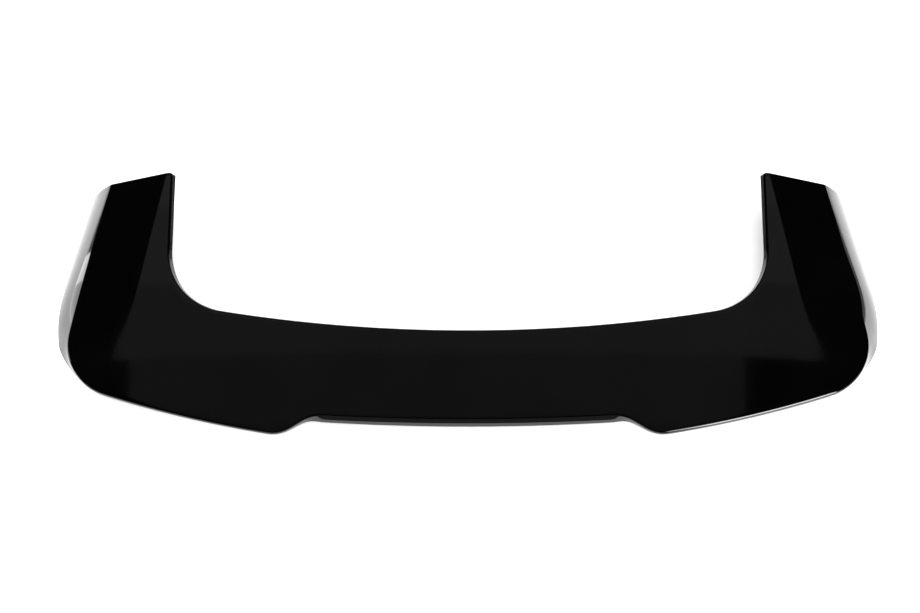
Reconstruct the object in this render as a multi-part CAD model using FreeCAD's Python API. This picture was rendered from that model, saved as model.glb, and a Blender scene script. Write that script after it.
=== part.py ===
"""Rear spoiler: a gloss shell formed from one plastic sheet, made to cap a car's own roof spoiler.

The shell is a U seen from above. A bar crosses the car behind the rear window, and two arms run
forward along its sides. The shell is lofted through sections of the sheet, which fan round the rear
corners, and it rests on its lower rim at z = 0. +X is to the right and +Y is forward.
"""
import FreeCAD
import Part

import math
import os

# Sheet and edges, in millimetres
wall = 3.5                    # thickness of the formed sheet
edge_radius = 4.0             # outer radius along the side walls and the trailing edge
lip_radius = 4.5              # outer radius where the top turns down into the lip
least_radius = 1.2            # no corner inside the sheet is tighter than this
lip_run = 6.0                 # how far the lip slopes into the opening
lip_drop = 8.0                # how far the lip hangs below the top
tip_return = 7.0              # depth of the turned-in edge across the end of each arm
tip_ease = 2.0                # how far that edge is eased at the front
rim_allowance = 2.0           # sheet that is formed below the rim and then trimmed off flat

# Plan of the opening between the arms, with y from the middle of the leading edge
tip_y = 244.0                 # end of the arms
inner_tip_half = 427.0        # half width of the opening at the arms' ends
inner_taper = 0.030           # the opening narrows by this share of the length towards the bar
inner_corner_radius = 99.0
lead_radius = 1880.0          # sweep of the leading edge

# Plan of the outside
arm_width = 91.5              # from the opening to the top of the side wall, at an arm's end
outer_flare = 0.149           # the arms spread by this share of the length towards the rear
outer_corner_radius = 82.0
trail_radius = 1575.0         # sweep of the trailing edge
trail_y = -164.8              # where that sweep would cross the middle

# Step in the middle of the trailing edge
step_y = -122.5               # trailing edge at the middle of the step
step_radius = 3000.0          # sweep of the stepped stretch
step_half = 233.5             # middle of each end of the step
step_length = 86.0            # length of each end's S-shaped run
step_lift = 6.0               # the rim under the step stands clear of the ground by this

# Top form
lead_height = 44.5            # top of the leading edge at the middle
top_slope = 0.20              # rise of the top per length forward, at the leading edge
arch_radius = 2500.0          # curve of the top from front to rear
crown_radius = 8300.0         # curve of the top from side to side

# Outer band of each arm, which falls away from the top along a crease
crease_inset = 6.0            # from the opening to the crease, at an arm's end
crease_flare = 0.168          # the creases spread by this share of the length towards the rear
band_drop = 24.0              # how far the band's outer edge falls at the arms' ends
band_fade_y = -60.0           # the fall has died out here
band_power = 1.5              # how the fall grows towards the arms' ends
bar_crease_share = 0.62       # where the faded crease runs across the bar

# Side and rear walls
side_spread = 34.5            # the side walls spread by this from top edge to rim
rear_spread = -3.5            # the rear wall is undercut by this
step_spread = 8.5             # the wall of the step spreads by this
step_power = 6.0              # how late it does so along the step's ends
bulge_out = 0.64              # the side and step walls bulge: share of their spread in the upper part
bulge_down = 0.38             # share of their height in the upper part
upright_angle = 47.0          # the walls have stood up by this angle round the corner, in degrees
upright_power = 1.4           # how late they do so

# Number of sections in each stretch of one half
arm_count = 4
fan_count = 10
rear_count = 3
step_count = 8
middle_count = 3


def ease(share):
    """A smooth run from 0 to 1 with level ends."""
    share = min(max(share, 0.0), 1.0)
    return share ** 3 * (10.0 - 15.0 * share + 6.0 * share ** 2)


def top_height(x, y):
    """Height of the top form over a point of the plan."""
    return lead_height + top_slope * y - y * y / (2.0 * arch_radius) - x * x / (2.0 * crown_radius)


def top_gradient(x, y):
    """Rise of the top form along x and along y."""
    return -x / crown_radius, top_slope - y / arch_radius


class Rail:
    """A plan line: straight along the arm, rounded at the corner, then a wide sweep across the bar."""

    def __init__(self, tip_half, flare, corner_radius, sweep_radius, sweep_y):
        self.tip_half = tip_half
        self.flare = flare
        self.corner_radius = corner_radius
        self.sweep_radius = sweep_radius
        self.sweep_centre = (0.0, sweep_y + sweep_radius)
        length = math.hypot(1.0, flare)
        self.along = (flare / length, -1.0 / length)
        self.normal = (1.0 / length, flare / length)
        start = (tip_half - corner_radius * self.normal[0], tip_y - corner_radius * self.normal[1])
        gap = (start[0] - self.sweep_centre[0], start[1] - self.sweep_centre[1])
        half = gap[0] * self.along[0] + gap[1] * self.along[1]
        rest = gap[0] ** 2 + gap[1] ** 2 - (sweep_radius - corner_radius) ** 2
        run = -half + math.sqrt(half * half - rest)
        self.corner = (start[0] + run * self.along[0], start[1] + run * self.along[1])
        self.line_end_y = self.corner[1] + corner_radius * self.normal[1]
        self.sweep_end_x = self.corner[0] * sweep_radius / (sweep_radius - corner_radius)

    def hit(self, origin, heading):
        """Distance from a point of the plan to the rail along a heading, and the rail's normal there."""
        slant = heading[0] * self.normal[0] + heading[1] * self.normal[1]
        if slant > 0.01:
            gap = (self.tip_half - origin[0], tip_y - origin[1])
            distance = (gap[0] * self.normal[0] + gap[1] * self.normal[1]) / slant
            if origin[1] + distance * heading[1] >= self.line_end_y:
                return distance, self.normal
        distance, normal = circle_hit(origin, heading, self.sweep_centre, self.sweep_radius)
        if origin[0] + distance * heading[0] <= self.sweep_end_x:
            return distance, normal
        return circle_hit(origin, heading, self.corner, self.corner_radius)


def circle_hit(origin, heading, centre, radius):
    """Distance along a heading to the far side of a circle, and the circle's normal there."""
    gap = (origin[0] - centre[0], origin[1] - centre[1])
    half = gap[0] * heading[0] + gap[1] * heading[1]
    distance = -half + math.sqrt(half * half - gap[0] ** 2 - gap[1] ** 2 + radius * radius)
    normal = tuple((gap[i] + distance * heading[i]) / radius for i in range(2))
    return distance, normal


inner_rail = Rail(inner_tip_half, -inner_taper, inner_corner_radius, lead_radius, 0.0)
outer_rail = Rail(inner_tip_half + arm_width, outer_flare, outer_corner_radius, trail_radius, trail_y)
pivot = inner_rail.corner


def step_share(x):
    """How far the trailing edge has gone over from its sweep to the step."""
    return ease((step_half + step_length / 2.0 - x) / step_length)


class Station:
    """A vertical section plane: where it starts in the plan, its heading, and the edges it meets."""

    def __init__(self, origin, heading, angle):
        self.origin = origin
        self.heading = heading
        inner, inner_normal = inner_rail.hit(origin, heading)
        outer, outer_normal = outer_rail.hit(origin, heading)
        share = step_share(origin[0]) if angle >= 90.0 else 0.0
        if share > 0.0:
            stepped = circle_hit(origin, heading, (0.0, step_y + step_radius), step_radius)[0]
            outer += share * (stepped - outer)
        self.inner = inner
        self.outer = outer
        self.lip_run = lip_run / (inner_normal[0] * heading[0] + inner_normal[1] * heading[1])
        upright = ease((angle / upright_angle) ** upright_power)
        step_wall = share ** step_power
        rear = rear_spread + step_wall * (step_spread - rear_spread)
        spread = side_spread + upright * (rear - side_spread)
        self.slant = outer_normal[0] * heading[0] + outer_normal[1] * heading[1]
        self.spread = spread / self.slant
        self.flat = upright * (1.0 - step_wall)
        self.bulge_out = bulge_out + self.flat * (bulge_down - bulge_out)
        self.rim = share * (step_lift + rim_allowance) - rim_allowance
        edge_y = origin[1] + outer * heading[1]
        fall = max(edge_y - band_fade_y, 0.0) / (tip_y - band_fade_y)
        self.drop = band_drop * fall ** band_power
        self.crease = self.crease_distance()

    def crease_distance(self):
        """Where the crease crosses this section: on its straight line, then at a share of the bar."""
        across_bar = self.inner + bar_crease_share * (self.outer - self.inner)
        closing = self.heading[0] + crease_flare * self.heading[1]
        if closing <= 0.0:
            return across_bar
        line_x = inner_tip_half + crease_inset + crease_flare * (tip_y - self.origin[1])
        return min((line_x - self.origin[0]) / closing, across_bar)

    def wall_depth(self, along, depth):
        """Depth that a wall has in the section plane, which may cross the wall at a slant."""
        return depth / math.hypot(along[0], along[1] * self.slant)

    def top(self, distance):
        """Height and slope of the top form at a distance along the section."""
        x = self.origin[0] + distance * self.heading[0]
        y = self.origin[1] + distance * self.heading[1]
        rise_x, rise_y = top_gradient(x, y)
        return top_height(x, y), rise_x * self.heading[0] + rise_y * self.heading[1]


def unit(vector):
    length = math.hypot(*vector)
    return vector[0] / length, vector[1] / length


def meet(point_a, along_a, point_b, along_b):
    """Where two lines of a section cross."""
    cross = along_a[0] * along_b[1] - along_a[1] * along_b[0]
    gap = (point_b[0] - point_a[0], point_b[1] - point_a[1])
    run = (gap[0] * along_b[1] - gap[1] * along_b[0]) / cross
    return point_a[0] + run * along_a[0], point_a[1] + run * along_a[1]


def moved(point, along, run):
    return point[0] + run * along[0], point[1] + run * along[1]


def inward(along):
    """The direction into the sheet from a skin that is followed from the lip to the rim."""
    return along[1], -along[0]


def rounded(corner, before, after, radius):
    """The four poles of a round at a corner between two directions."""
    turn = math.acos(min(1.0, before[0] * after[0] + before[1] * after[1]))
    reach = radius * math.tan(turn / 2.0)
    handle = radius * math.tan(turn / 4.0) * 4.0 / 3.0
    start = moved(corner, before, -reach)
    end = moved(corner, after, reach)
    return [start, moved(start, before, handle), moved(end, after, -handle), end]


def swept(start, start_slope, end, end_slope):
    """The three poles of a shallow curve between two points with given slopes."""
    half = (end[0] - start[0]) / 2.0
    height = (start[1] + start_slope * half + end[1] - end_slope * half) / 2.0
    return [start, (start[0] + half, height), end]


def skin(station, depth, inside):
    """Poles of one skin from lip to rim, at a depth below the outer skin; inside corners are plain."""
    top_a, slope_a = station.top(station.inner)
    top_c, slope_c = station.top(station.crease)
    top_e, slope_e = station.top(station.outer)
    fall = station.drop / (station.outer - station.crease)
    corner_a = (station.inner, top_a)
    corner_c = (station.crease, top_c)
    corner_e = (station.outer, top_e - station.drop)
    lip_end = (station.inner - station.lip_run, top_a - lip_drop)
    bulge = (station.outer + station.bulge_out * station.spread, (1.0 - bulge_down) * corner_e[1])
    ground = (station.outer + station.spread, 0.0)

    along_lip = unit((corner_a[0] - lip_end[0], corner_a[1] - lip_end[1]))
    along_a = unit((1.0, slope_a))
    along_e = unit((1.0, slope_e - fall))
    along_upper = unit((bulge[0] - corner_e[0], bulge[1] - corner_e[1]))
    along_lower = unit((ground[0] - bulge[0], ground[1] - bulge[1]))
    along_bulge = unit((along_upper[0] + along_lower[0], along_upper[1] + along_lower[1]))

    lip_in = moved(lip_end, inward(along_lip), depth)
    a_in = meet(lip_in, along_lip, moved(corner_a, inward(along_a), depth), along_a)
    c_in = moved(corner_c, inward(unit((1.0, slope_c - fall / 2.0))), depth)
    half_turn = along_bulge[0] * along_upper[0] + along_bulge[1] * along_upper[1]
    bulge_in = moved(bulge, inward(along_bulge), station.wall_depth(along_bulge, depth) / half_turn)
    e_in = meet(moved(corner_e, inward(along_e), depth), along_e, bulge_in, along_upper)
    rim_in = meet(bulge_in, along_lower, (0.0, station.rim), (1.0, 0.0))

    round_a = rounded(a_in, along_lip, along_a, max(lip_radius - depth, least_radius))
    round_e = rounded(e_in, along_e, along_upper, max(edge_radius - depth, least_radius))
    if inside:
        round_a = [round_a[0], round_a[-1]]
        round_e = [round_e[0], round_e[-1]]
    wall_start = round_e[-1]
    to_bulge = (bulge_in[0] - wall_start[0]) * along_upper[0] + (bulge_in[1] - wall_start[1]) * along_upper[1]
    to_middle = math.hypot(rim_in[0] - wall_start[0], rim_in[1] - wall_start[1]) / 2.0
    wall_pole = moved(wall_start, along_upper, to_bulge + station.flat * (to_middle - to_bulge))
    top = swept(round_a[-1], slope_a, c_in, slope_c)
    band = swept(c_in, slope_c - fall, round_e[0], slope_e - fall)
    return [[lip_in, round_a[0]], round_a, top, band, round_e, [wall_start, wall_pole, rim_in]]


def section(station, side, near, far, shift=0.0):
    """Pole lists of the edges round the sheet in a section plane, from depth near to depth far."""

    def place(point):
        x = station.origin[0] + point[0] * station.heading[0]
        y = station.origin[1] + point[0] * station.heading[1]
        return FreeCAD.Vector(side * x, y + shift, point[1])

    outer = skin(station, near, False)
    inner = [poles[::-1] for poles in skin(station, far, True)[::-1]]
    rim = [outer[-1][-1], inner[0][0]]
    lip_edge = [inner[-1][-1], outer[0][0]]
    return [[place(point) for point in poles] for poles in outer + [rim] + inner + [lip_edge]]


def end_face(edges):
    """Flat face inside the closed outline of one section."""
    curves = []
    for poles in edges:
        curve = Part.BezierCurve()
        curve.setPoles(poles)
        curves.append(curve.toShape())
    return Part.Face(Part.Wire(curves))


def strip(rows, places):
    """Smooth face through the same edge of successive sections."""
    lines = []
    for column in zip(*rows):
        line = Part.BSplineCurve()
        line.interpolate(Points=list(column), Parameters=places)
        lines.append(line)
    degree = len(lines) - 1
    width = rows[0][0].distanceToPoint(rows[0][-1])
    surface = Part.BSplineSurface()
    surface.buildFromPolesMultsKnots(
        [line.getPoles() for line in lines],
        [degree + 1, degree + 1],
        lines[0].getMultiplicities(),
        [0.0, width],
        lines[0].getKnots(),
        False,
        False,
        degree,
        lines[0].Degree,
    )
    return surface.toShape()


def skinned(sections):
    """Solid through successive sections, closed by a flat face at each end."""
    places = [0.0]
    for before, after in zip(sections, sections[1:]):
        inner_run = before[2][0].distanceToPoint(after[2][0])
        outer_run = before[3][-1].distanceToPoint(after[3][-1])
        places.append(places[-1] + (inner_run + outer_run) / 2.0)
    faces = [strip(rows, places) for rows in zip(*sections)]
    faces += [end_face(sections[0]), end_face(sections[-1])]
    shell = Part.Shell(faces)
    shell.sewShape()
    solid = Part.Solid(shell)
    if solid.Volume < 0.0:
        solid.reverse()
    return solid


def spaced(start, end, spans):
    """Evenly spaced values from start up to, but without, end."""
    return [start + (end - start) * i / spans for i in range(spans)]


def half_stations():
    """Section planes from an arm's end round the corner to the middle of the bar."""
    stations = []
    for y in spaced(tip_y, pivot[1], arm_count):
        stations.append(Station((pivot[0], y), (1.0, 0.0), 0.0))
    for angle in spaced(0.0, 90.0, fan_count):
        turn = math.radians(angle)
        stations.append(Station(pivot, (math.cos(turn), -math.sin(turn)), angle))
    step_start = step_half + step_length / 2.0
    step_end = step_half - step_length / 2.0
    places = spaced(pivot[0], step_start, rear_count)
    places += spaced(step_start, step_end, step_count)
    places += spaced(step_end, 0.0, middle_count) + [0.0]
    for x in places:
        stations.append(Station((x, pivot[1]), (0.0, -1.0), 90.0))
    return stations


def formed_sheet(stations):
    """The sheet from one arm's end to the other."""
    left = [section(station, -1.0, 0.0, wall) for station in stations]
    right = [section(station, 1.0, 0.0, wall) for station in stations[-2::-1]]
    return skinned(left + right)


def tip_edge(station, side):
    """The turned-in edge across the end of an arm, eased at the front."""
    back = section(station, side, 0.0, tip_return)
    front = section(station, side, tip_ease, tip_return, wall)
    return skinned([back, front])


def trimmed(shell):
    """The shell with its rim cut flat at the ground."""
    box = shell.BoundBox
    corner = FreeCAD.Vector(box.XMin - wall, box.YMin - wall, -2.0 * rim_allowance)
    waste = Part.makeBox(box.XLength + 2.0 * wall, box.YLength + 2.0 * wall, 2.0 * rim_allowance, corner)
    return shell.cut(waste)


def spoiler_shell():
    """The whole shell, with its origin under the middle of its box."""
    stations = half_stations()
    shell = formed_sheet(stations)
    for side in (-1.0, 1.0):
        shell = shell.fuse(tip_edge(stations[0], side))
    shell = trimmed(shell)
    box = shell.optimalBoundingBox(False)
    shell.translate(FreeCAD.Vector(0.0, -(box.YMin + box.YMax) / 2.0, 0.0))
    return shell


os.makedirs("parts", exist_ok=True)
shape = spoiler_shell()
shape.exportStep("parts/spoiler_shell.step")
print("valid", shape.isValid(), "solids", len(shape.Solids), "faces", len(shape.Faces))
print("volume cm3", round(shape.Volume / 1000.0, 1), "box", shape.optimalBoundingBox(False))
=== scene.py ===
import bmesh
import bpy
import math
from mathutils import Matrix, Vector


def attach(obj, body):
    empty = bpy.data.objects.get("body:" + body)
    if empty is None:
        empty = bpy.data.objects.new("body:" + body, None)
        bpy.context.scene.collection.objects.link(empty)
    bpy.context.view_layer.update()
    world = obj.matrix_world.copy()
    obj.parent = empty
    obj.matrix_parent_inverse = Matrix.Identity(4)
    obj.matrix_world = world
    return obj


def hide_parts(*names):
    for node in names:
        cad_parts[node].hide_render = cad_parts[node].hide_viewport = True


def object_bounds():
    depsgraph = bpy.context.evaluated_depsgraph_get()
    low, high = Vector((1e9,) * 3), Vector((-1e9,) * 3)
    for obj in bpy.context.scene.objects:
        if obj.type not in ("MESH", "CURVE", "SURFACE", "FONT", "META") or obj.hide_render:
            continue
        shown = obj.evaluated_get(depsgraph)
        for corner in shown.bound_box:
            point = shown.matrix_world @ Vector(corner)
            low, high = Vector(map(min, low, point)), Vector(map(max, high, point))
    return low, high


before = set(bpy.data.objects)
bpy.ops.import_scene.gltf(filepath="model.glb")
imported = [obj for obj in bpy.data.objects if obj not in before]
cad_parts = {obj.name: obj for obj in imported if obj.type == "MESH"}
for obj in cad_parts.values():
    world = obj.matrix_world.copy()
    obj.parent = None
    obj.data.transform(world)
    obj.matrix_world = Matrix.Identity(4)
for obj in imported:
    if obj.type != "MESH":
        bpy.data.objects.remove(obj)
cad_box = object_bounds()

# Units and tolerances of the mesh
mm_per_metre = 1000.0
least_slant = 0.01
join_distance = 1e-6
speck_size = 1e-7
hard_edge_angle = 32.0

# Sheet and edges, in millimetres; the lip is drawn a little finer than in the part's source
wall = 3.5
edge_radius = 4.0
lip_radius = 4.5
least_radius = 1.2
lip_run = 6.0
bar_lip_run = 4.0
lip_drop = 7.2
tip_return = 7.0
tip_ease = 2.0
rim_allowance = 2.0

# Plan of the opening between the arms
tip_y = 244.0
inner_tip_half = 427.0
inner_taper = 0.030
inner_corner_radius = 99.0
lead_radius = 1880.0

# Plan of the outside
arm_width = 91.5
outer_flare = 0.149
outer_corner_radius = 82.0
trail_radius = 1575.0
trail_y = -164.8

# Step in the middle of the trailing edge
step_y = -122.5
step_radius = 3000.0
step_half = 233.5
step_length = 86.0
step_lift = 6.0

# Top form
lead_height = 44.5
top_slope = 0.20
arch_radius = 2500.0
crown_radius = 8300.0

# Outer band of each arm
crease_inset = 6.0
crease_flare = 0.168
band_drop = 24.0
band_fade_y = -60.0
band_power = 1.5
bar_crease_share = 0.62

# Side and rear walls
side_spread = 34.5
rear_spread = -3.5
step_spread = 8.5
step_power = 6.0
bulge_out = 0.64
bulge_down = 0.38
upright_angle = 47.0
upright_power = 1.4

# Spans of the dense mesh: along one half, then across one skin
arm_spans = 30
fan_spans = 60
rear_spans = 20
step_spans = 36
middle_spans = 36
tip_spans = 6
lip_spans = 3
lip_round_spans = 6
top_spans = 22
band_spans = 16
edge_round_spans = 8
wall_spans = 12

# Camera: pixels of the image, degrees, metres, and the sensor in millimetres
image_width = 920
image_height = 613
focal_px = 1643.2
camera_elevation = 60.0
camera_distance = 2.261
axis_px = 468.0
lead_px = 330.0
sensor_width = 36.0

# Material slots of the shell
gloss_slot = 0
underside_slot = 1
edge_slot = 2

# Gloss of the outer skin: tones as places on a ramp with colours
gloss_ior = 1.5
coat_weight = 0.25
coat_roughness = 0.02
gloss_low = (0.35, (0.0003, 0.0003, 0.00033, 1.0))
gloss_high = (0.70, (0.0006, 0.0006, 0.00065, 1.0))
tone_scale = 9.0
haze_scale = 24.0
haze_range = (0.3, 0.7)
haze_roughness = (0.035, 0.075)
peel_scale = 260.0
peel_strength = 0.05
peel_height = 0.0004

# Satin of the underside and the cut edge
satin_places = (0.30, 0.72)
satin_blue = 1.05
satin_roughness = (0.38, 0.62)
grain_height = 0.0005

# Floor and surround
floor_half = 14.0
floor_colour = (0.86, 0.86, 0.86, 1.0)
floor_roughness = 0.9
surround_colour = (1.0, 1.0, 1.0, 1.0)
surround_strength = 1.0

# Overhead strips: left, right, rear and front edges and brightness, brighter towards the arms' ends
overhead_height = 2.6
overhead_strips = [
    (-1.35, 1.35, 1.10, 1.70, 0.26),
    (-1.35, 1.35, 0.60, 1.10, 0.20),
    (-1.35, 1.35, 0.15, 0.60, 0.14),
    (-1.29, 1.05, -0.25, 0.15, 0.10),
    (-1.29, 1.05, -1.15, -0.25, 0.075),
]

# Soft lights: name, place, aim, size and brightness, and whether the gloss mirrors them
soft_lights = [
    ("key_soft", (2.1, -2.6, 1.9), (0.4, -0.1, 0.0), (1.4, 2.8), 15.0, True),
    ("left_card", (-1.2, 0.165, 0.25), (0.0, 0.165, 0.25), (0.53, 0.5), 3.0, True),
    ("left_strip", (-1.2, 0.48, 0.25), (0.0, 0.48, 0.25), (0.10, 0.5), 6.0, True),
    ("rear_card", (0.0, -3.2, 0.8), (0.0, 0.0, 0.8), (3.0, 1.5), 0.2, True),
    ("far_card", (-3.0, 2.3, 0.17), (0.0, 0.1, 0.17), (2.6, 0.34), 0.6, True),
    ("far_card", (3.0, 2.3, 0.17), (0.0, 0.1, 0.17), (2.6, 0.34), 0.6, True),
    ("left_soft", (-0.9, 0.26, 0.45), (-0.68, 0.22, 0.0), (0.4, 0.4), 8.0, False),
    ("right_soft", (0.9, 0.08, 0.45), (0.68, 0.08, 0.0), (0.4, 0.8), 6.0, False),
    ("behind_soft", (-0.6, -3.2, 4.2), (0.0, 0.0, 0.0), (4.0, 2.4), 0.8, False),
    ("above_soft", (-0.5, 2.2, 5.0), (0.0, 0.0, 0.0), (4.0, 2.4), 5.5, False),
]


def ease(share):
    """A smooth run from 0 to 1 with level ends."""
    share = min(max(share, 0.0), 1.0)
    return share ** 3 * (10.0 - 15.0 * share + 6.0 * share ** 2)


def circle_hit(origin, heading, centre, radius):
    """Distance along a heading to the far side of a circle, and the circle's normal there."""
    gap = (origin[0] - centre[0], origin[1] - centre[1])
    half = gap[0] * heading[0] + gap[1] * heading[1]
    distance = -half + math.sqrt(half * half - gap[0] ** 2 - gap[1] ** 2 + radius * radius)
    return distance, tuple((gap[i] + distance * heading[i]) / radius for i in range(2))


class Rail:
    """A plan line: straight along the arm, rounded at the corner, then a wide sweep across the bar."""

    def __init__(self, tip_half, flare, corner_radius, sweep_radius, sweep_y):
        self.tip_half = tip_half
        self.corner_radius = corner_radius
        self.sweep_radius = sweep_radius
        self.sweep_centre = (0.0, sweep_y + sweep_radius)
        length = math.hypot(1.0, flare)
        along = (flare / length, -1.0 / length)
        self.normal = (1.0 / length, flare / length)
        start = (tip_half - corner_radius * self.normal[0], tip_y - corner_radius * self.normal[1])
        gap = (start[0] - self.sweep_centre[0], start[1] - self.sweep_centre[1])
        half = gap[0] * along[0] + gap[1] * along[1]
        rest = gap[0] ** 2 + gap[1] ** 2 - (sweep_radius - corner_radius) ** 2
        run = -half + math.sqrt(half * half - rest)
        self.corner = (start[0] + run * along[0], start[1] + run * along[1])
        self.line_end_y = self.corner[1] + corner_radius * self.normal[1]
        self.sweep_end_x = self.corner[0] * sweep_radius / (sweep_radius - corner_radius)

    def hit(self, origin, heading):
        """Distance from a point of the plan to the rail along a heading, and the rail's normal there."""
        slant = heading[0] * self.normal[0] + heading[1] * self.normal[1]
        if slant > least_slant:
            gap = (self.tip_half - origin[0], tip_y - origin[1])
            distance = (gap[0] * self.normal[0] + gap[1] * self.normal[1]) / slant
            if origin[1] + distance * heading[1] >= self.line_end_y:
                return distance, self.normal
        distance, normal = circle_hit(origin, heading, self.sweep_centre, self.sweep_radius)
        if origin[0] + distance * heading[0] <= self.sweep_end_x:
            return distance, normal
        return circle_hit(origin, heading, self.corner, self.corner_radius)


inner_rail = Rail(inner_tip_half, -inner_taper, inner_corner_radius, lead_radius, 0.0)
outer_rail = Rail(inner_tip_half + arm_width, outer_flare, outer_corner_radius, trail_radius, trail_y)
pivot = inner_rail.corner


class Station:
    """A vertical section plane: where it starts in the plan, its heading, and the edges it meets."""

    def __init__(self, origin, heading, angle):
        self.origin = origin
        self.heading = heading
        self.inner, inner_normal = inner_rail.hit(origin, heading)
        self.outer, outer_normal = outer_rail.hit(origin, heading)
        share = 0.0
        if angle >= 90.0:
            share = ease((step_half + step_length / 2.0 - origin[0]) / step_length)
            stepped = circle_hit(origin, heading, (0.0, step_y + step_radius), step_radius)[0]
            self.outer += share * (stepped - self.outer)
        upright = ease((angle / upright_angle) ** upright_power)
        run = lip_run + upright * (bar_lip_run - lip_run)
        self.lip_run = run / (inner_normal[0] * heading[0] + inner_normal[1] * heading[1])
        self.slant = outer_normal[0] * heading[0] + outer_normal[1] * heading[1]
        step_wall = share ** step_power
        rear = rear_spread + step_wall * (step_spread - rear_spread)
        self.spread = (side_spread + upright * (rear - side_spread)) / self.slant
        self.flat = upright * (1.0 - step_wall)
        self.bulge_out = bulge_out + self.flat * (bulge_down - bulge_out)
        self.rim = max(share * (step_lift + rim_allowance) - rim_allowance, 0.0)
        edge_y = origin[1] + self.outer * heading[1]
        fall = max(edge_y - band_fade_y, 0.0) / (tip_y - band_fade_y)
        self.drop = band_drop * fall ** band_power
        self.crease = self.crease_distance()

    def crease_distance(self):
        """Where the crease crosses this section: on its straight line, then at a share of the bar."""
        across_bar = self.inner + bar_crease_share * (self.outer - self.inner)
        closing = self.heading[0] + crease_flare * self.heading[1]
        if closing <= 0.0:
            return across_bar
        line_x = inner_tip_half + crease_inset + crease_flare * (tip_y - self.origin[1])
        return min((line_x - self.origin[0]) / closing, across_bar)

    def wall_depth(self, along, depth):
        """Depth that a wall has in the section plane, which may cross the wall at a slant."""
        return depth / math.hypot(along[0], along[1] * self.slant)

    def top(self, distance):
        """Height and slope of the top form at a distance along the section."""
        x = self.origin[0] + distance * self.heading[0]
        y = self.origin[1] + distance * self.heading[1]
        height = lead_height + top_slope * y - y * y / (2.0 * arch_radius) - x * x / (2.0 * crown_radius)
        rise_x = -x / crown_radius
        rise_y = top_slope - y / arch_radius
        return height, rise_x * self.heading[0] + rise_y * self.heading[1]


def unit(vector):
    length = math.hypot(*vector)
    return vector[0] / length, vector[1] / length


def meet(point_a, along_a, point_b, along_b):
    """Where two lines of a section cross."""
    cross = along_a[0] * along_b[1] - along_a[1] * along_b[0]
    gap = (point_b[0] - point_a[0], point_b[1] - point_a[1])
    run = (gap[0] * along_b[1] - gap[1] * along_b[0]) / cross
    return point_a[0] + run * along_a[0], point_a[1] + run * along_a[1]


def moved(point, along, run):
    return point[0] + run * along[0], point[1] + run * along[1]


def inward(along):
    """The direction into the sheet from a skin that is followed from the lip to the rim."""
    return along[1], -along[0]


def rounded(corner, before, after, radius):
    """The four poles of a round at a corner between two directions."""
    turn = math.acos(min(1.0, before[0] * after[0] + before[1] * after[1]))
    reach = radius * math.tan(turn / 2.0)
    handle = radius * math.tan(turn / 4.0) * 4.0 / 3.0
    start = moved(corner, before, -reach)
    end = moved(corner, after, reach)
    return [start, moved(start, before, handle), moved(end, after, -handle), end]


def swept(start, start_slope, end, end_slope):
    """The three poles of a shallow curve between two points with given slopes."""
    half = (end[0] - start[0]) / 2.0
    height = (start[1] + start_slope * half + end[1] - end_slope * half) / 2.0
    return [start, (start[0] + half, height), end]


def bezier(poles, share):
    """A point of a Bezier curve."""
    while len(poles) > 1:
        poles = [tuple(a + share * (b - a) for a, b in zip(p, q)) for p, q in zip(poles, poles[1:])]
    return poles[0]


def skin(station, depth):
    """Points of one skin from lip to rim, at a depth below the outer skin."""
    top_a, slope_a = station.top(station.inner)
    top_c, slope_c = station.top(station.crease)
    top_e, slope_e = station.top(station.outer)
    fall = station.drop / (station.outer - station.crease)
    corner_a = (station.inner, top_a)
    corner_c = (station.crease, top_c)
    corner_e = (station.outer, top_e - station.drop)
    lip_end = (station.inner - station.lip_run, top_a - lip_drop)
    bulge = (station.outer + station.bulge_out * station.spread, (1.0 - bulge_down) * corner_e[1])
    ground = (station.outer + station.spread, 0.0)

    along_lip = unit((corner_a[0] - lip_end[0], corner_a[1] - lip_end[1]))
    along_a = unit((1.0, slope_a))
    along_e = unit((1.0, slope_e - fall))
    along_upper = unit((bulge[0] - corner_e[0], bulge[1] - corner_e[1]))
    along_lower = unit((ground[0] - bulge[0], ground[1] - bulge[1]))
    along_bulge = unit((along_upper[0] + along_lower[0], along_upper[1] + along_lower[1]))

    lip_in = moved(lip_end, inward(along_lip), depth)
    a_in = meet(lip_in, along_lip, moved(corner_a, inward(along_a), depth), along_a)
    c_in = moved(corner_c, inward(unit((1.0, slope_c - fall / 2.0))), depth)
    half_turn = along_bulge[0] * along_upper[0] + along_bulge[1] * along_upper[1]
    bulge_in = moved(bulge, inward(along_bulge), station.wall_depth(along_bulge, depth) / half_turn)
    e_in = meet(moved(corner_e, inward(along_e), depth), along_e, bulge_in, along_upper)
    rim_in = meet(bulge_in, along_lower, (0.0, station.rim), (1.0, 0.0))

    round_a = rounded(a_in, along_lip, along_a, max(lip_radius - depth, least_radius))
    round_e = rounded(e_in, along_e, along_upper, max(edge_radius - depth, least_radius))
    wall_start = round_e[-1]
    gap = (bulge_in[0] - wall_start[0], bulge_in[1] - wall_start[1])
    to_bulge = gap[0] * along_upper[0] + gap[1] * along_upper[1]
    to_middle = math.hypot(rim_in[0] - wall_start[0], rim_in[1] - wall_start[1]) / 2.0
    wall_pole = moved(wall_start, along_upper, to_bulge + station.flat * (to_middle - to_bulge))
    top = swept(round_a[-1], slope_a, c_in, slope_c)
    band = swept(c_in, slope_c - fall, round_e[0], slope_e - fall)
    stretches = [
        ([lip_in, round_a[0]], lip_spans),
        (round_a, lip_round_spans),
        (top, top_spans),
        (band, band_spans),
        (round_e, edge_round_spans),
        ([wall_start, wall_pole, rim_in], wall_spans),
    ]
    points = [bezier(poles, i / spans) for poles, spans in stretches for i in range(spans)]
    return points + [rim_in]


def spaced(start, end, spans):
    """Evenly spaced values from start up to, but without, end."""
    return [start + (end - start) * i / spans for i in range(spans)]


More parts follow.
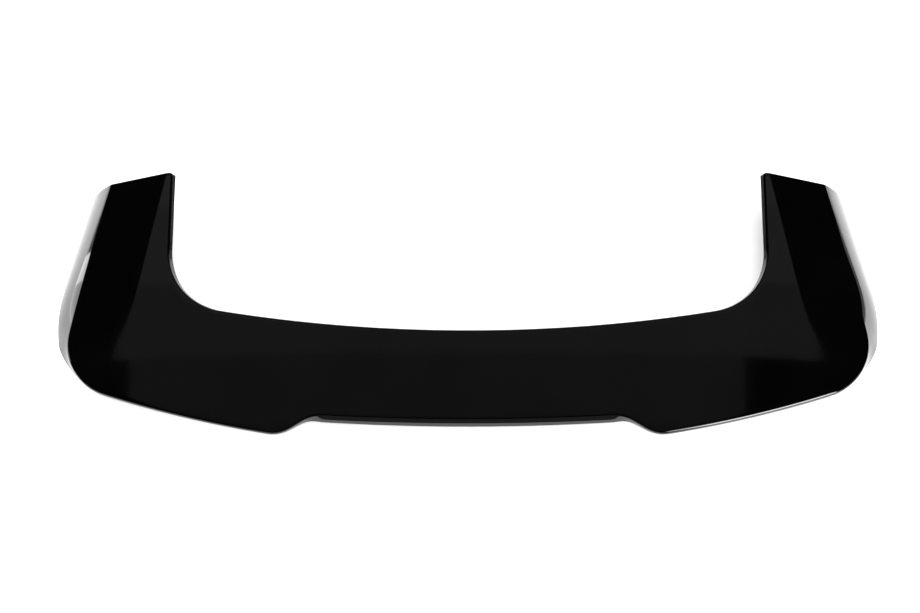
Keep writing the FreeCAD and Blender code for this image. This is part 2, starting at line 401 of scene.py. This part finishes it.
def half_stations():
    """Section planes from an arm's end round the corner to the middle of the bar."""
    stations = [Station((pivot[0], y), (1.0, 0.0), 0.0) for y in spaced(tip_y, pivot[1], arm_spans)]
    for angle in spaced(0.0, 90.0, fan_spans):
        turn = math.radians(angle)
        stations.append(Station(pivot, (math.cos(turn), -math.sin(turn)), angle))
    step_start = step_half + step_length / 2.0
    step_end = step_half - step_length / 2.0
    places = spaced(pivot[0], step_start, rear_spans)
    places += spaced(step_start, step_end, step_spans)
    places += spaced(step_end, 0.0, middle_spans) + [0.0]
    return stations + [Station((x, pivot[1]), (0.0, -1.0), 90.0) for x in places]


y_shift = cad_box[1].y - (tip_y + wall) / mm_per_metre


def placed(station, points, side, shift=0.0):
    """Points of a section in the row frame, in metres."""
    row = []
    for distance, height in points:
        x = station.origin[0] + distance * station.heading[0]
        y = station.origin[1] + distance * station.heading[1] + shift
        row.append((side * x / mm_per_metre, y / mm_per_metre + y_shift, height / mm_per_metre))
    return row


def tip_rows(station, side):
    """Outer and inner rows across the end of an arm, from its front face back to the sheet."""
    outer = []
    inner = []
    for i in range(tip_spans):
        turn = math.pi / 2.0 * (1.0 - i / tip_spans)
        near = tip_ease * (1.0 - math.cos(turn))
        shift = wall * math.sin(turn)
        outer.append(placed(station, skin(station, near), side, shift))
        inner.append(placed(station, skin(station, tip_return), side, shift))
    outer.append(placed(station, skin(station, 0.0), side))
    inner.append(placed(station, skin(station, tip_return), side))
    return outer, inner


def shell_rows():
    """All rows of the outer and the inner skin, from the left arm's end to the right arm's."""
    stations = half_stations()
    outer, inner = tip_rows(stations[0], -1.0)
    for side, run in ((-1.0, stations), (1.0, stations[-2::-1])):
        outer += [placed(station, skin(station, 0.0), side) for station in run]
        inner += [placed(station, skin(station, wall), side) for station in run]
    right_outer, right_inner = tip_rows(stations[0], 1.0)
    return outer + right_outer[::-1], inner + right_inner[::-1]


def shell_mesh():
    """The shell as one closed mesh of quads, with the gloss, satin and cut faces in their own slots."""
    outer, inner = shell_rows()
    width = len(outer[0])
    count = len(outer)
    vertices = [point for row in outer + inner for point in row]
    faces = []
    slots = []

    def quad(a, b, c, d, slot):
        faces.append((a, b, c, d))
        slots.append(slot)

    below = count * width
    for row in range(count - 1):
        for i in range(width - 1):
            a = row * width + i
            quad(a, a + 1, a + width + 1, a + width, gloss_slot)
            quad(below + a, below + a + width, below + a + width + 1, below + a + 1, underside_slot)
        first = row * width
        last = first + width - 1
        quad(first, first + width, below + first + width, below + first, edge_slot)
        quad(last, below + last, below + last + width, last + width, edge_slot)
    for i in range(width - 1):
        quad(i, below + i, below + i + 1, i + 1, gloss_slot)
        end = (count - 1) * width + i
        quad(end, end + 1, below + end + 1, below + end, gloss_slot)

    mesh = bpy.data.meshes.new("spoiler_skin")
    mesh.from_pydata(vertices, [], faces)
    mesh.polygons.foreach_set("material_index", slots)
    return mesh


def cleaned(mesh):
    """Joins the rows that meet, and keeps hard edges hard while the rest shades smoothly."""
    work = bmesh.new()
    work.from_mesh(mesh)
    bmesh.ops.remove_doubles(work, verts=work.verts, dist=join_distance)
    bmesh.ops.dissolve_degenerate(work, edges=work.edges, dist=speck_size)
    bmesh.ops.recalc_face_normals(work, faces=work.faces)
    for face in work.faces:
        face.smooth = True
    for edge in work.edges:
        if len(edge.link_faces) == 2:
            edge.smooth = edge.calc_face_angle() < math.radians(hard_edge_angle)
    work.to_mesh(mesh)
    work.free()


def node(tree, kind, **values):
    """A shader node with some of its inputs set, named as the node shows them."""
    made = tree.nodes.new(kind)
    for name, value in values.items():
        made.inputs[name.replace("_", " ").title()].default_value = value
    return made


def tone_ramp(tree, low, high):
    """A ramp between two tones, each given by its place and its colour."""
    ramp = tree.nodes.new("ShaderNodeValToRGB")
    for element, (place, colour) in zip(ramp.color_ramp.elements, (low, high)):
        element.position = place
        element.color = colour
    return ramp


def new_material(name):
    """A material with its node tree, its shader and a node that gives places on the object."""
    material = bpy.data.materials.new(name)
    material.use_nodes = True
    tree = material.node_tree
    return material, tree, tree.nodes["Principled BSDF"], node(tree, "ShaderNodeTexCoord")


def gloss_black():
    """Moulded black gloss: faint orange peel, and a finish that varies a little over the sheet."""
    material, tree, shader, where = new_material("gloss_black")
    shader.inputs["IOR"].default_value = gloss_ior
    shader.inputs["Coat Weight"].default_value = coat_weight
    shader.inputs["Coat Roughness"].default_value = coat_roughness

    tone = node(tree, "ShaderNodeTexNoise", scale=tone_scale, detail=3.0)
    tint = tone_ramp(tree, gloss_low, gloss_high)
    tree.links.new(where.outputs["Object"], tone.inputs["Vector"])
    tree.links.new(tone.outputs["Fac"], tint.inputs["Fac"])
    tree.links.new(tint.outputs["Color"], shader.inputs["Base Color"])

    haze = node(tree, "ShaderNodeTexNoise", scale=haze_scale, detail=4.0)
    finish = node(tree, "ShaderNodeMapRange", from_min=haze_range[0], from_max=haze_range[1],
                  to_min=haze_roughness[0], to_max=haze_roughness[1])
    tree.links.new(where.outputs["Object"], haze.inputs["Vector"])
    tree.links.new(haze.outputs["Fac"], finish.inputs["Value"])
    tree.links.new(finish.outputs["Result"], shader.inputs["Roughness"])

    peel = node(tree, "ShaderNodeTexNoise", scale=peel_scale, detail=2.0)
    bump = node(tree, "ShaderNodeBump", strength=peel_strength, distance=peel_height)
    tree.links.new(where.outputs["Object"], peel.inputs["Vector"])
    tree.links.new(peel.outputs["Fac"], bump.inputs["Height"])
    tree.links.new(bump.outputs["Normal"], shader.inputs["Normal"])
    return material


def satin_black(name, low, high, grain, rise):
    """The duller back of the sheet and its sawn edge: a fine grain over black plastic."""
    material, tree, shader, where = new_material(name)
    cloud = node(tree, "ShaderNodeTexNoise", scale=grain, detail=5.0)
    tones = [(place, (tone, tone, tone * satin_blue, 1.0)) for place, tone in zip(satin_places, (low, high))]
    tint = tone_ramp(tree, *tones)
    finish = node(tree, "ShaderNodeMapRange", to_min=satin_roughness[0], to_max=satin_roughness[1])
    bump = node(tree, "ShaderNodeBump", strength=rise, distance=grain_height)
    tree.links.new(where.outputs["Object"], cloud.inputs["Vector"])
    tree.links.new(cloud.outputs["Fac"], tint.inputs["Fac"])
    tree.links.new(tint.outputs["Color"], shader.inputs["Base Color"])
    tree.links.new(cloud.outputs["Fac"], finish.inputs["Value"])
    tree.links.new(finish.outputs["Result"], shader.inputs["Roughness"])
    tree.links.new(cloud.outputs["Fac"], bump.inputs["Height"])
    tree.links.new(bump.outputs["Normal"], shader.inputs["Normal"])
    return material


def add_shell():
    """The dressed shell, which stands for the plain solid."""
    mesh = shell_mesh()
    mesh.materials.append(gloss_black())
    mesh.materials.append(satin_black("satin_underside", low=0.004, high=0.010, grain=900.0, rise=0.25))
    mesh.materials.append(satin_black("cut_edge", low=0.006, high=0.016, grain=1400.0, rise=0.35))
    cleaned(mesh)
    shell = bpy.data.objects.new("spoiler_skin", mesh)
    bpy.context.scene.collection.objects.link(shell)
    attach(shell, "root")
    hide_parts("spoiler_shell")


def add_floor():
    """A plain white floor that the part lies on."""
    mesh = bpy.data.meshes.new("floor")
    sides = ((-1, -1), (1, -1), (1, 1), (-1, 1))
    corners = [(x * floor_half, y * floor_half, 0.0) for x, y in sides]
    mesh.from_pydata(corners, [], [(0, 1, 2, 3)])
    material = bpy.data.materials.new("floor_white")
    material.use_nodes = True
    shader = material.node_tree.nodes["Principled BSDF"]
    shader.inputs["Base Color"].default_value = floor_colour
    shader.inputs["Roughness"].default_value = floor_roughness
    shader.inputs["Specular IOR Level"].default_value = 0.0
    mesh.materials.append(material)
    floor = bpy.data.objects.new("floor", mesh)
    bpy.context.scene.collection.objects.link(floor)


def add_area(name, place, aim, size, radiance, in_gloss):
    """A rectangular soft light of a given brightness, aimed at a point."""
    light = bpy.data.lights.new(name, "AREA")
    light.shape = "RECTANGLE"
    light.size = size[0]
    light.size_y = size[1]
    light.energy = radiance * math.pi * size[0] * size[1]
    made = bpy.data.objects.new(name, light)
    made.location = place
    made.rotation_mode = "QUATERNION"
    made.rotation_quaternion = (Vector(aim) - Vector(place)).to_track_quat("-Z", "Y")
    made.visible_glossy = in_gloss
    bpy.context.scene.collection.objects.link(made)


def add_light():
    """An even studio: a white surround kept out of the gloss, dim strips overhead, and soft floor lights."""
    world = bpy.data.worlds.new("studio")
    bpy.context.scene.world = world
    world.use_nodes = True
    ground = world.node_tree.nodes["Background"]
    ground.inputs["Color"].default_value = surround_colour
    ground.inputs["Strength"].default_value = surround_strength
    world.cycles_visibility.glossy = False
    for left, right, rear, front, radiance in overhead_strips:
        x = (left + right) / 2.0
        y = (rear + front) / 2.0
        size = (right - left, front - rear)
        add_area("overhead_strip", (x, y, overhead_height), (x, y, 0.0), size, radiance, True)
    for name, place, aim, size, radiance, in_gloss in soft_lights:
        add_area(name, place, aim, size, radiance, in_gloss)


def add_camera():
    """The camera stands behind and above the bar, on the middle of the car."""
    elevation = math.radians(camera_elevation)
    forward = Vector((0.0, math.cos(elevation), -math.sin(elevation)))
    right = Vector((1.0, 0.0, 0.0))
    up = right.cross(forward)
    target = Vector((0.0, y_shift, lead_height / mm_per_metre))
    lens = bpy.data.cameras.new("camera")
    lens.sensor_fit = "HORIZONTAL"
    lens.sensor_width = sensor_width
    lens.lens = focal_px * sensor_width / image_width
    lens.shift_x = (image_width / 2.0 - axis_px) / image_width
    lens.shift_y = (lead_px - image_height / 2.0) / image_width
    camera = bpy.data.objects.new("camera", lens)
    turn = Matrix((right, up, -forward)).transposed()
    camera.matrix_world = Matrix.Translation(target - camera_distance * forward) @ turn.to_4x4()
    bpy.context.scene.collection.objects.link(camera)
    bpy.context.scene.camera = camera


bpy.context.scene.view_settings.view_transform = "Standard"
add_shell()
add_floor()
add_light()
add_camera()
